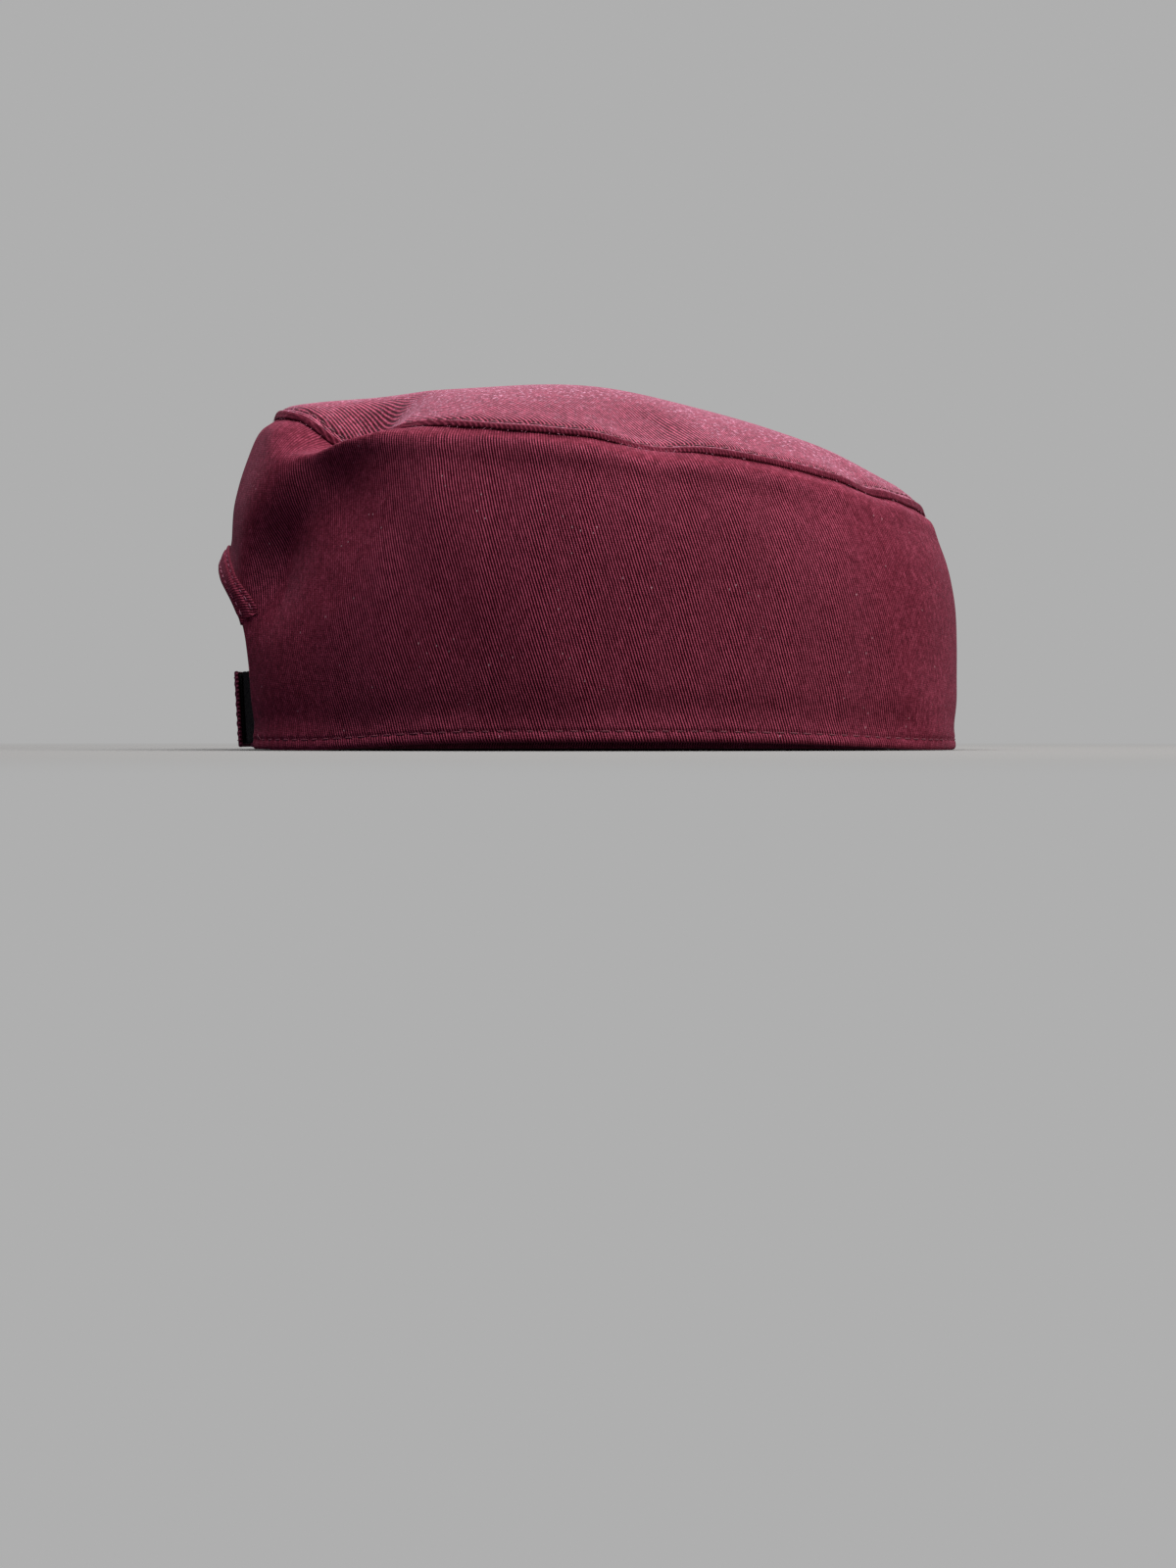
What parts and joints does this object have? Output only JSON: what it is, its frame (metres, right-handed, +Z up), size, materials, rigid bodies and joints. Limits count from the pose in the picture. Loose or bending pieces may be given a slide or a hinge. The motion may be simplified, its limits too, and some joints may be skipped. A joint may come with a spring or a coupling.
{
  "type": "brimless pillbox cap",
  "caption": "Low brimless fez-like pillbox cap of twill with a domed oval top, a welted crown seam and a hook-and-loop strap across an arch at the back.",
  "frame": {"origin": "middle of the cap's plan, on the surface that its hem rests on", "axes": "+X towards the front of the cap, +Y towards the wearer's left, +Z up"},
  "size_m": [0.2185, 0.1696, 0.1085],
  "materials": {
    "wall_twill": "matte cotton-blend twill with a soft sheen, burgundy",
    "crown_twill": "matte cotton-blend twill with a soft sheen, burgundy",
    "binding_twill": "matte cotton-blend twill cut on the bias, burgundy",
    "strap_twill": "matte cotton-blend twill, burgundy",
    "hook_tape": "black woven nylon with rows of fine hooks",
    "loop_tape": "black brushed nylon loop pile"
  },
  "bodies": {
    "root": {"side_band": "wall_twill", "top_panel": "crown_twill", "arch_binding": "binding_twill", "strap": "strap_twill", "strap_hook_tape": "hook_tape", "tab": "strap_twill", "tab_loop_tape": "loop_tape"}
  },
  "joints": []
}
